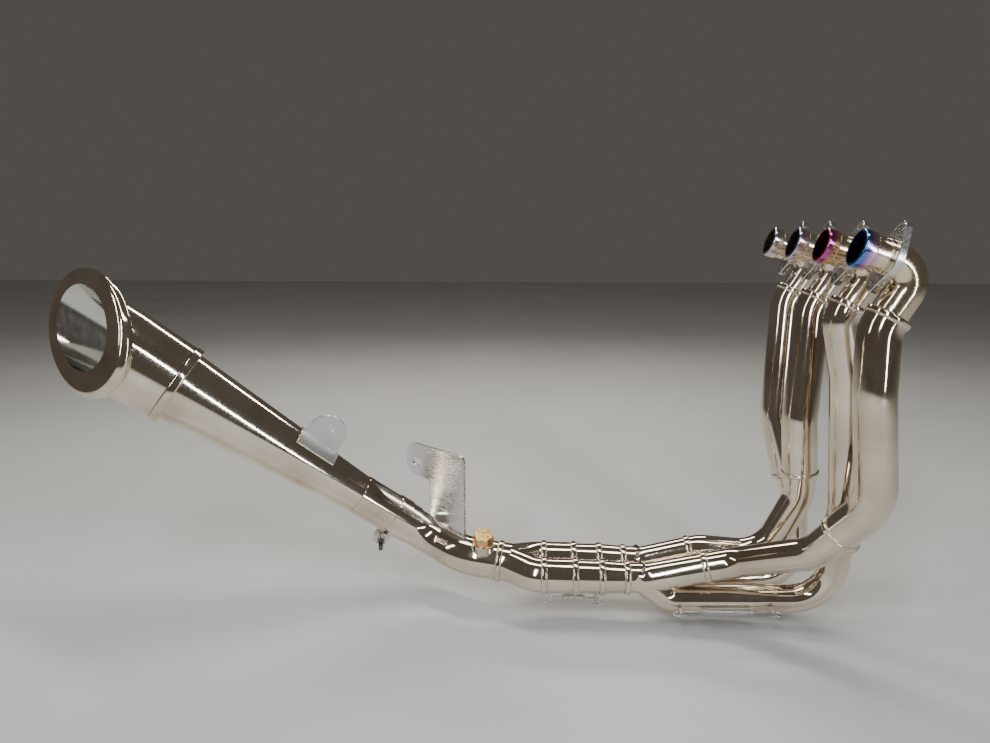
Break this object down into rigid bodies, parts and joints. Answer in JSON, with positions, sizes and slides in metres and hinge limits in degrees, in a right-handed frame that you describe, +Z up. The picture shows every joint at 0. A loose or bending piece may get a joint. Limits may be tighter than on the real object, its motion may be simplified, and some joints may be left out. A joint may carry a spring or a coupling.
{
  "type": "racing exhaust system",
  "caption": "Four header pipes that join in pairs and then into one mid pipe, with sprung slip joints, loose port flanges, hanger plates and a megaphone silencer with a slanted rolled mouth.",
  "frame": {"origin": "centre of the open end of header 4's port collar", "axes": "+X towards the front of the engine bay and away from the silencer, +Y across the engine from header 4 to header 1, +Z up"},
  "size_m": [1.0042, 0.3308, 0.5115],
  "materials": {
    "tube_steel": "mirror polished stainless steel",
    "tinted_steel": "polished, heat tinted blue and gold",
    "flange_steel": "machined",
    "hanger_steel": "bright brushed",
    "bracket_alloy": "satin",
    "brass": "machined",
    "copper_washer": "soft washer",
    "spring_steel": "bright wire",
    "clamp_steel": "dark satin",
    "core_steel": "mill finish",
    "packing": "woven glass fibre"
  },
  "bodies": {
    "near_strand": {"header_4_port_collar": "tinted_steel", "header_4_port_pipe": "tube_steel", "header_4_joint_rings": "tube_steel", "header_4_down_pipe": "tube_steel", "header_4_lower_pipe": "tube_steel", "near_collector": "tube_steel", "near_collector_rings": "tube_steel", "near_collector_lugs": "spring_steel", "header_3_springs": "spring_steel", "near_outlet_spring": "spring_steel"},
    "header_3": {"header_3_port_collar": "tinted_steel", "header_3_port_pipe": "tube_steel", "header_3_joint_rings": "tube_steel", "header_3_down_pipe": "tube_steel", "header_3_lower_pipe": "tube_steel", "header_3_spring_lugs": "spring_steel"},
    "rear_section": {"near_secondary_pipe": "tube_steel", "far_secondary_pipe": "tube_steel", "rear_collector": "tube_steel", "rear_rings": "tube_steel", "rear_spring_lugs": "spring_steel", "mid_pipe": "tube_steel", "hanger_plate": "hanger_steel", "sensor_boss": "tube_steel"},
    "far_strand": {"header_2_port_collar": "tinted_steel", "header_2_port_pipe": "tube_steel", "header_2_joint_rings": "tube_steel", "header_2_down_pipe": "tube_steel", "header_2_lower_pipe": "tube_steel", "far_collector": "tube_steel", "far_collector_rings": "tube_steel", "far_collector_lugs": "spring_steel", "header_1_springs": "spring_steel", "far_outlet_spring": "spring_steel"},
    "header_1": {"header_1_port_collar": "tinted_steel", "header_1_port_pipe": "tube_steel", "header_1_joint_rings": "tube_steel", "header_1_down_pipe": "tube_steel", "header_1_lower_pipe": "tube_steel", "header_1_spring_lugs": "spring_steel"},
    "silencer": {"silencer_neck": "tube_steel", "silencer_cone": "tube_steel", "silencer_band": "tube_steel", "outlet_shell": "tube_steel", "outlet_tube": "tube_steel", "mouth_lip": "tube_steel", "perforated_core": "core_steel", "sound_packing": "packing", "core_support_ring": "core_steel", "clamp_band": "clamp_steel", "clamp_bolt": "clamp_steel", "clamp_nut": "clamp_steel", "silencer_bracket": "bracket_alloy", "bracket_saddle": "bracket_alloy"},
    "sensor_plug": {"sensor_plug": "brass", "plug_washer": "copper_washer"},
    "flange_1": {"header_1_flange": "flange_steel"},
    "flange_2": {"header_2_flange": "flange_steel"},
    "flange_3": {"header_3_flange": "flange_steel"},
    "flange_4": {"header_4_flange": "flange_steel"}
  },
  "joints": [
    {"name": "header_3_slip", "type": "slide", "parent": "near_strand", "child": "header_3", "axis": [0.9983, -0.0355, 0.0456], "range_m": [0, 0.012], "stiffness_N_per_m": 10000, "springref_m": -0.004, "deforming": ["header_3_springs"]},
    {"name": "rear_slip", "type": "slide", "parent": "near_strand", "child": "rear_section", "axis": [-1, 0, 0], "range_m": [0, 0.012], "stiffness_N_per_m": 8000, "springref_m": -0.006, "deforming": ["near_outlet_spring"]},
    {"name": "far_slip", "type": "slide", "parent": "rear_section", "child": "far_strand", "axis": [1, 0, 0], "range_m": [0, 0.012], "stiffness_N_per_m": 8000, "springref_m": -0.006, "deforming": ["far_outlet_spring"]},
    {"name": "header_1_slip", "type": "slide", "parent": "far_strand", "child": "header_1", "axis": [0.995, 0.0984, 0.0164], "range_m": [0, 0.012], "stiffness_N_per_m": 10000, "springref_m": -0.004, "deforming": ["header_1_springs"]},
    {"name": "silencer_turn", "type": "hinge", "parent": "rear_section", "child": "silencer", "pos_m": [-0.5, 0.196, -0.371], "axis": [-0.7727, -0.2216, 0.5948], "range_deg": [-15, 15]},
    {"name": "plug_out", "type": "slide", "parent": "rear_section", "child": "sensor_plug", "axis": [0.0644, -0.4597, 0.8857], "range_m": [0, 0.016]},
    {"name": "flange_1_slide", "type": "slide", "parent": "header_1", "child": "flange_1", "axis": [-0.9511, 0, 0.309], "range_m": [0, 0.0155]},
    {"name": "flange_2_slide", "type": "slide", "parent": "far_strand", "child": "flange_2", "axis": [-0.9511, 0, 0.309], "range_m": [0, 0.0155]},
    {"name": "flange_3_slide", "type": "slide", "parent": "header_3", "child": "flange_3", "axis": [-0.9511, 0, 0.309], "range_m": [0, 0.0155]},
    {"name": "flange_4_slide", "type": "slide", "parent": "near_strand", "child": "flange_4", "axis": [-0.9511, 0, 0.309], "range_m": [0, 0.0155]}
  ]
}
